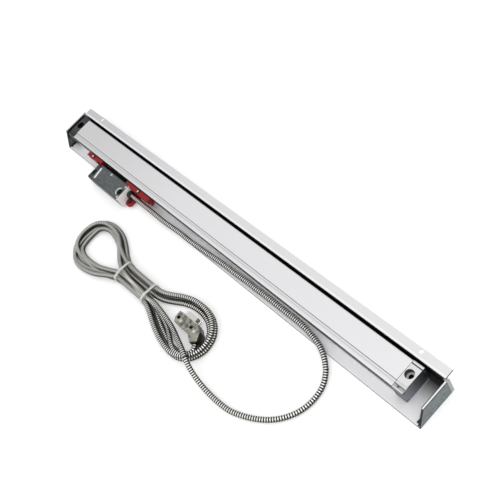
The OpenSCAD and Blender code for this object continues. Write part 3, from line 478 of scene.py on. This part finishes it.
# Middle of the cable as it comes down onto the hank, and as it leaves the hank for the plug
lead_in = [
    (0.081, -0.1400, 0.0172), (0.064, -0.1350, 0.0148), (0.046, -0.1300, 0.0118),
    (0.028, -0.1262, 0.0106), (0.010, -0.1235, 0.0106), (-0.008, -0.1220, 0.0106),
]
lead_out = [
    (-0.010, -0.1235, 0.0106), (0.004, -0.1250, 0.0080), (0.018, -0.1285, 0.0050),
    (0.032, -0.1330, 0.0042), (0.046, -0.1390, 0.0070), (0.058, -0.1445, 0.0100),
    (0.069, -0.1478, 0.0106), (0.079, -0.1470, 0.0104), (0.0875, -0.1412, 0.0094),
    (0.0895, -0.1335, 0.0084), (0.0855, -0.1262, 0.0080), (0.0800, -0.1205, 0.0080),
]
hank_line = spline([route[-1], *lead_in, *hank, *lead_out], hoop / 3)

split = 23                          # the stretch on the floor starts at this point of the route
run_line = spline(route[:split + 1], hoop / 3)
give_line = spline(route[split:], hoop / 3)


run = hose("cable_with_head", run_line)
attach(run, "head")

give = hose("cable_on_floor", give_line)
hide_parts("cable_run")
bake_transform(give)

coil = hose("cable_hank_turns", hank_line)
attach(coil, "scale")
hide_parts("cable_hank")

# Cable ties: two white nylon straps pulled round the neck of the hank, each with its
# small square lock on top, and a cut-off tail on the left one.
nylon, shader, place, _ = surface("tie_nylon", Subsurface_Weight=0.15, Roughness=0.42)
feed(shader, "Base Color", place.noise(0.0015).mix((0.70, 0.69, 0.62), (0.82, 0.81, 0.76)))
relief(shader, place.noise(0.0006), 0.00005)

strap_w, strap_t = 0.0034, 0.0010
strap_slack = 0.0002                # left between strap and cable
arch, arch_reach = 0.0040, 0.017    # the strap stands up over the strands' middle
lock_size = (0.0042, 0.0046, 0.0030)
tail_size = (0.0022, 0.0075, 0.0009)
tail_lean = math.radians(24)


def tie(name, node, tail):
    """A strap round the strands that pass through a tie's box."""
    low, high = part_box(node)
    x = (low[0] + high[0]) / 2
    beside = [p for p in hank_line if abs(p[0] - x) < 0.002]
    near = [p for p in beside if low[1] - 0.004 < p[1] < high[1] + 0.004]
    mid = (min(p[1] for p in near) + max(p[1] for p in near)) / 2
    bm = bmesh.new()
    loop = bmesh.ops.create_circle(bm, segments=40, radius=1.0)["verts"]
    for v in loop:
        way = (v.co.x, v.co.y)
        y, z = max(((p[1] - mid, p[2]) for p in near), key=lambda c: c[0] * way[0] + c[1] * way[1])
        r = cable_d / 2 + strap_t / 2 + strap_slack
        y, z = y + r * way[0], z + r * way[1]
        z += arch * max(0, way[1]) * max(0.0, 1 - (y / arch_reach) ** 2)
        v.co = (x - strap_w / 2, mid + y, max(z, strap_t / 2))
    band = bmesh.ops.extrude_edge_only(bm, edges=bm.edges[:])["geom"]
    bmesh.ops.translate(bm, verts=[g for g in band if isinstance(g, bmesh.types.BMVert)], vec=(strap_w, 0, 0))
    bmesh.ops.recalc_face_normals(bm, faces=bm.faces)
    bmesh.ops.solidify(bm, geom=bm.faces[:], thickness=strap_t)
    lock = bmesh.ops.create_cube(bm, size=1.0)["verts"]
    bmesh.ops.scale(bm, verts=lock, vec=lock_size)
    bmesh.ops.translate(bm, verts=lock, vec=(x, low[1] + 0.0042, 0.0115))
    if tail:
        strip = bmesh.ops.create_cube(bm, size=1.0)["verts"]
        bmesh.ops.scale(bm, verts=strip, vec=tail_size)
        bmesh.ops.rotate(bm, verts=strip, cent=(0, 0, 0), matrix=Matrix.Rotation(tail_lean, 3, "X"))
        bmesh.ops.translate(bm, verts=strip, vec=(x, low[1] - 0.0010, 0.0100))
    mesh = bpy.data.meshes.new(name)
    bm.to_mesh(mesh)
    bm.free()
    mesh.shade_smooth()
    made = add(name, mesh, nylon)
    soften = made.modifiers.new("edges", "BEVEL")
    soften.width = 0.0003
    soften.segments = 2
    soften.limit_method = "ANGLE"
    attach(made, "scale")
    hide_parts(node)


tie("tie_strap_left", "cable_tie_left", tail=True)
tie("tie_strap_right", "cable_tie_right", tail=False)

# Plug: a nine-way connector in a two-part die-cast hood that is screwed together, with a plated
# shell and jackscrews, a black insert and gilt pins. The hood's faces are plain.
hood, shader, place, facing = surface("hood_cast", Metallic=0.75)
grain = place.noise(0.0012, detail=3.0)
worn = place.noise(0.006)
tint = (grain * 0.4 + worn * 0.6).ramp(0.35, 0.65).mix((0.13, 0.125, 0.10), (0.48, 0.47, 0.40))
# Painted shade: the steep sides of the hood are dark
upright = 1 - facing.axes()[2].ramp(0.25, 0.65)
feed(shader, "Base Color", upright.mix(tint, (0.035, 0.034, 0.027)))
feed(shader, "Roughness", grain * 0.2 + 0.22)
relief(shader, grain * 0.3 + worn, 0.0004)
dress(hood, "plug_hood_bottom", "plug_hood_top")
shell, shader, place, facing = surface("shell_plated", Metallic=1.0)
grain = place.noise(0.0008)
lit = grain.mix((0.66, 0.64, 0.60), (0.88, 0.86, 0.82))
# Painted shade: faces turned down are dark, those turned up keep the lit colour
tint = facing.axes()[2].ramp(-0.1, 0.7).mix((0.16, 0.155, 0.14), lit)
feed(shader, "Base Color", tint)
feed(shader, "Roughness", grain * 0.16 + 0.12)
relief(shader, grain, 0.00002)
dress(shell, "plug_shell", "jackscrew_left", "jackscrew_right")
finish("insert_black", (0.012, 0.012, 0.013), (0.030, 0.030, 0.032), 0.0008, 0.00003, ["plug_insert"], 0.5)
finish("pin_gilt", (0.70, 0.46, 0.14), (0.86, 0.62, 0.24), 0.0006, 0.00001, ["plug_pins"], 0.2, Metallic=1.0)

# Transport brackets: two red moulded bars, screwed to the head from the side, that hold it to the
# housing until the scale is fitted.
finish("bracket_red", (0.235, 0.006, 0.007), (0.350, 0.011, 0.012), 0.004, 0.00006,
       ["bracket_left", "bracket_right"], 0.42, Specular_IOR_Level=0.35)

# Bracket screws: plated steel, driven down through the bars and in from their sides. The two on
# top of the bars are dark red round the edge of their heads and bright in the middle.
left_bar, right_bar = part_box("bracket_left"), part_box("bracket_right")
plated, shader, place, _ = surface("screw_plated", Metallic=0.9)
bar_y = front - 0.00375             # middle of the bars
spots = [place.off(left_bar[0][0] + 0.014, bar_y), place.off(right_bar[1][0] - 0.026, bar_y)]
from_axis = spots[0].maths("MINIMUM", *spots)
grain = place.noise(0.0005)
rim = (from_axis + 0.0003 * grain).ramp(0.0016, 0.0020)
tint = rim.mix(grain.mix((0.70, 0.70, 0.70), (0.90, 0.90, 0.90)), (0.09, 0.025, 0.025))
feed(shader, "Base Color", tint)
feed(shader, "Roughness", grain * 0.15 + 0.2)
relief(shader, grain, 0.00002)
dress(plated, "bracket_screws")

# Cover: a guard bent from aluminium sheet, with the plate under the scale, a wall behind it
# and a flange turned outward along the wall's top. The inside of the wall is painted dark as shade.
low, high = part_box("cover_profile")
wall = rear + 0.004                 # front of the wall behind the scale
sheet, shader, place, facing = surface("cover_oxide")
x, y, z = place.axes()
ny, nz = facing.axes()[1:]
drawn = place.noise(0.0006, stretch=(90, 1, 1))
haze = place.noise(0.03)
mottle = drawn * 0.7 + haze * 0.3
tint = mottle.mix((0.68, 0.68, 0.70), (0.79, 0.79, 0.81))
# Painted light: paler towards the near end
painted_light_tone = mottle.mix((0.84, 0.84, 0.855), (0.93, 0.93, 0.94))
tint = x.ramp(-0.36, -0.04).mix(tint, painted_light_tone)
# Painted light: the bend along the wall's top is painted as a highlight, the plate in front of the
# scale painted pale as lit
on_top = z.ramp(0.020, 0.024)
fillet = on_top * (1 - y.ramp(wall + 0.0020, wall + 0.0028))
tint = fillet.mix(tint, (0.99, 0.99, 0.99))
plate = 1 - on_top
ahead = plate * (1 - y.ramp(front - 0.003, front + 0.004))
tint = ahead.mix(tint, (drawn * 0.6 + haze * 0.4).mix((0.86, 0.86, 0.88), (0.95, 0.95, 0.96)))
# Painted shade: the plate is painted dark behind the scale and past both its ends
upper = plate * nz.ramp(0.4, 0.7)
tint = (upper * y.ramp(rear - 0.003, rear)).mix(tint, (0.012, 0.012, 0.014))
beyond = x.ramp(0.334, 0.338) * y.ramp(front + 0.006, wall)
tint = (upper * beyond).mix(tint, (0.02, 0.02, 0.022))
far_end = (1 - x.ramp(-0.3575, -0.3560)) * y.ramp(front - 0.004, front)
tint = (upper * far_end).mix(tint, (0.006, 0.006, 0.007))
# The cut edges at the front and at the near end are darker; the inside of the wall is painted dark as shade
cut_edge = 1 - y.ramp(low[1] + 0.0004, low[1] + 0.0007)
tint = (plate * cut_edge).mix(tint, (0.25, 0.25, 0.26))
inner = ny.ramp(-0.8, -0.4)
unlit = (1 - inner) * y.ramp(0.015, 0.018) * (1 - z.ramp(0.0236, 0.0242))
tint = unlit.mix(tint, (0.010, 0.010, 0.012))
tint = x.ramp(high[0] - 0.0006, high[0] - 0.0003).mix(tint, (0.10, 0.10, 0.11))
feed(shader, "Base Color", tint)
feed(shader, "Metallic", 0.40 + 0.20 * on_top - 0.55 * fillet)
feed(shader, "Roughness", drawn * 0.12 + 0.46 - 0.12 * on_top)
relief(shader, drawn, 0.00003)
dress(sheet, "cover_profile")

# End caps of the cover: moulded in a filled grey plastic with a stippled face; a band along the top
# rim is painted bright as a highlight. They close the ends of the bent sheet, held by a tongue
# pressed inside it.
for name, way in (("cover_cap_far", -1), ("cover_cap_near", 1)):
    low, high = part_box(name)
    moulded, shader, place, facing = surface(name + "_moulding", Metallic=0.35)
    x, y, z = place.axes()
    nx, ny, nz = facing.axes()
    pits = place.noise(0.0011, detail=3.0)
    tint = pits.ramp(0.35, 0.65).mix((0.085, 0.10, 0.105), (0.26, 0.29, 0.30))
    # Painted light and shade: the rim band is bright, dimmer on the far cap, and the rest of the top is black
    outer = max(high[0], -low[0])
    if way > 0:
        rim = x.band(outer - 0.0026, outer - 0.0009)
        bright = pits.mix((0.84, 0.84, 0.84), (0.98, 0.98, 0.98))
    else:
        rim = (x * way).ramp(outer - 0.0026, outer - 0.0024)
        bright = pits.mix((0.52, 0.53, 0.54), (0.68, 0.68, 0.70))
    tint = nz.ramp(0.5, 0.9).mix(tint, rim.mix((0.008, 0.008, 0.009), bright))
    # Painted shade: the side that faces the scale is dark at its top and the front faces are dark;
    # a band along the back edge is pale
    inside = (nx * -way).ramp(0.5, 0.9)
    inner_wall = z.ramp(0.012, 0.020).mix((0.14, 0.145, 0.15), (0.012, 0.012, 0.013))
    tint = inside.mix(tint, inner_wall)
    tint = ny.ramp(-0.9, -0.5).mix((0.012, 0.012, 0.013), tint)
    tint = y.ramp(high[1] - 0.0045, high[1] - 0.0035).mix(tint, (0.42, 0.44, 0.45))
    feed(shader, "Base Color", tint)
    feed(shader, "Roughness", pits * 0.2 + 0.40)
    relief(shader, pits, 0.00025)
    dress(moulded, name)

# Floor: a plain pale board under everything, which shows white and keeps the object's soft
# shadow.
board, shader, place, _ = surface("floor_board", Roughness=0.9, Emission_Strength=0.30)
feed(shader, "Base Color", place.noise(0.02).mix((0.94, 0.94, 0.94), (0.95, 0.95, 0.95)))
seen = [place.node("LightPath", out=ray) for ray in ("Is Camera Ray", "Is Glossy Ray", "Is Transmission Ray")]
feed(shader, "Emission Color", (seen[0] + seen[1] + seen[2]).mix((0, 0, 0), (1, 1, 1)))
bm = bmesh.new()
bmesh.ops.create_grid(bm, x_segments=1, y_segments=1, size=3)
bmesh.ops.translate(bm, verts=bm.verts[:], vec=(0, 0, -0.0002))       # just under the cable
mesh = bpy.data.meshes.new("floor")
bm.to_mesh(mesh)
bm.free()
add("floor", mesh, board)

# Light: a soft surround, dim at the horizon, bright overhead and a little brighter from the
# front, with one broad lamp above the near end.
world = bpy.data.worlds.new("surround")
bpy.context.scene.world = world
world.use_nodes = True
background = world.node_tree.nodes["Background"]
coords = world.node_tree.nodes.new("ShaderNodeTexCoord")
along, sky = Sock(world.node_tree, coords.outputs["Generated"]).axes()[1:]
front_fill = (0 - along).ramp(0.0, 0.9)
glow = sky.maths("MAXIMUM", sky, 0) * 0.70 + 0.25 + 0.45 * front_fill
to_camera = sky.node("LightPath", out="Is Camera Ray")
world.node_tree.links.new((glow * (1 - to_camera) + to_camera).socket, background.inputs["Strength"])
background.inputs["Color"].default_value = (1, 1, 1, 1)
lamp = bpy.data.lights.new("soft_lamp", "AREA")
lamp.shape = "DISK"
lamp.size = 0.8
lamp.energy = 1.9
lamp_at = bpy.data.objects.new("soft_lamp", lamp)
lamp_at.location = (0.75, 0.05, 0.95)
lit_spot = Vector((0.1, -0.05, 0))
lamp_at.rotation_euler = (Vector(lamp_at.location) - lit_spot).to_track_quat("Z", "Y").to_euler()
bpy.context.scene.collection.objects.link(lamp_at)
bpy.context.scene.view_settings.view_transform = "Standard"
